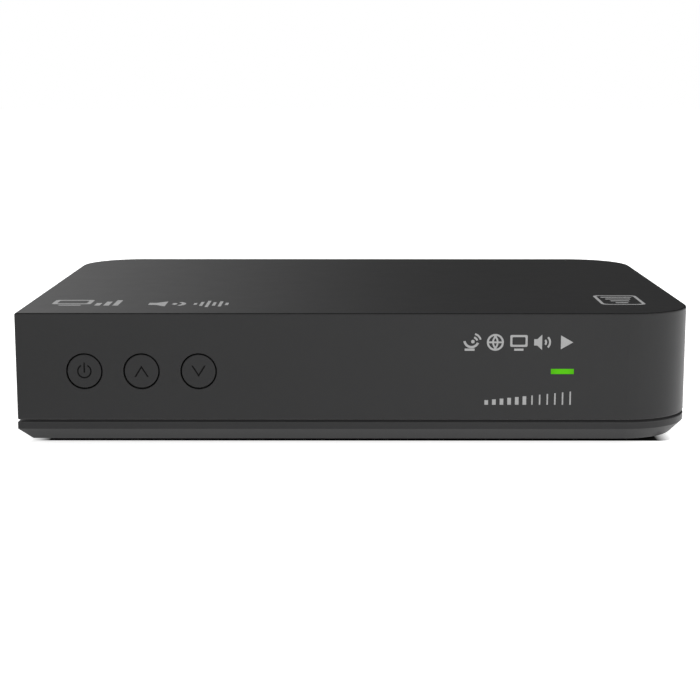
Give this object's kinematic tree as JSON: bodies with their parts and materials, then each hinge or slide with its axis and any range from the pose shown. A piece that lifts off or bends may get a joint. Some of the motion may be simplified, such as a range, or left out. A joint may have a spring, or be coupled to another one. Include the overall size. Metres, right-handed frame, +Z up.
{
  "type": "satellite tv receiver",
  "caption": "Low flat satellite television receiver: a dark plastic case on a shallow tray, with round front keys, a status light and a row of rear sockets.",
  "frame": {"origin": "middle of the underside of the whole object's box, on the surface that the rubber feet stand on; the box takes in the satellite input that stands out at the back", "axes": "+X to the right seen from the front, +Y from the front keys to the rear sockets, +Z up"},
  "size_m": [0.168, 0.1254, 0.0336],
  "materials": {
    "case_plastic": "dark grey moulded plastic with a fine satin texture",
    "key_plastic": "dark grey moulded plastic, satin, with sunk symbols",
    "light_lens": "translucent green light guide, lit",
    "foot_rubber": "soft black rubber",
    "panel_steel": "folded steel plate, black powder coat",
    "black_screw": "blackened steel screw",
    "zinc_screw": "zinc-plated steel",
    "circuit_board": "glass-fibre board under green solder resist",
    "chip_plastic": "black moulded epoxy",
    "tin_plate": "bright tin-plated steel sheet",
    "nickel": "bright nickel plating",
    "gold_contact": "gold-plated spring metal",
    "pale_insulator": "off-white moulded plastic",
    "socket_plastic": "black moulded plastic",
    "switch_plastic": "black and grey moulded plastic",
    "aluminium": "extruded aluminium, natural",
    "thermal_pad": "soft grey silicone pad",
    "capacitor_can": "aluminium can in a dark sleeve",
    "coil_ferrite": "dark ferrite block",
    "sensor_resin": "dark infrared-passing resin",
    "lamp_resin": "clear and white resin",
    "print_ink": "light grey pad-printed ink, for marks on the case",
    "label_film": "blank silver film label"
  },
  "bodies": {
    "receiver": {"upper_cover": "case_plastic", "bottom_tray": "case_plastic", "rear_panel": "panel_steel", "case_screws": "black_screw", "main_board": "circuit_board", "board_screws": "zinc_screw", "front_board": "circuit_board", "front_board_screws": "zinc_screw", "link_header_block": "socket_plastic", "link_header_pins": "gold_contact", "status_light_guide": "light_lens", "status_lamp": "lamp_resin", "infrared_sensor": "sensor_resin", "tuner_frame": "tin_plate", "tuner_lid": "tin_plate", "satellite_input_barrel": "nickel", "satellite_input_core": "pale_insulator", "satellite_input_contact": "gold_contact", "satellite_input_nut": "nickel", "satellite_input_washer": "nickel", "network_socket_shield": "tin_plate", "network_socket_housing": "socket_plastic", "network_socket_contacts": "gold_contact", "network_socket_lamps": "lamp_resin", "network_transformer": "chip_plastic", "data_socket_shell": "nickel", "data_socket_tongue": "socket_plastic", "data_socket_contacts": "gold_contact", "video_socket_shell": "nickel", "video_socket_tongue": "socket_plastic", "video_socket_contacts": "gold_contact", "optical_socket_housing": "socket_plastic", "optical_socket_emitter": "lamp_resin", "power_inlet_housing": "socket_plastic", "power_inlet_pin": "nickel", "power_inlet_spring": "nickel", "processor": "chip_plastic", "thermal_pad": "thermal_pad", "heat_sink": "aluminium", "heat_sink_clips": "pale_insulator", "memory_chips": "chip_plastic", "flash_chip": "chip_plastic", "crystal": "tin_plate", "capacitors": "capacitor_can", "power_coils": "coil_ferrite", "rubber_foot_front_left": "foot_rubber", "rubber_foot_front_right": "foot_rubber", "rubber_foot_rear_left": "foot_rubber", "rubber_foot_rear_right": "foot_rubber", "power_switch_housing": "switch_plastic", "up_switch_housing": "switch_plastic", "down_switch_housing": "switch_plastic"},
    "power_key_body": {"power_key": "key_plastic", "power_switch_plunger": "pale_insulator"},
    "up_key_body": {"up_key": "key_plastic", "up_switch_plunger": "pale_insulator"},
    "down_key_body": {"down_key": "key_plastic", "down_switch_plunger": "pale_insulator"},
    "optical_shutter": {"optical_socket_shutter": "switch_plastic"}
  },
  "joints": [
    {"name": "power_press", "type": "slide", "parent": "receiver", "child": "power_key_body", "axis": [0, 1, 0], "range_m": [0, 0.0005], "stiffness_N_per_m": 2000},
    {"name": "up_press", "type": "slide", "parent": "receiver", "child": "up_key_body", "axis": [0, 1, 0], "range_m": [0, 0.0005], "stiffness_N_per_m": 2000},
    {"name": "down_press", "type": "slide", "parent": "receiver", "child": "down_key_body", "axis": [0, 1, 0], "range_m": [0, 0.0005], "stiffness_N_per_m": 2000},
    {"name": "shutter_hinge", "type": "hinge", "parent": "receiver", "child": "optical_shutter", "pos_m": [-0.03972, 0.05165, 0.0179], "axis": [-1, 0, 0], "range_deg": [0, 88], "stiffness_Nm_per_rad": 0.0002}
  ]
}
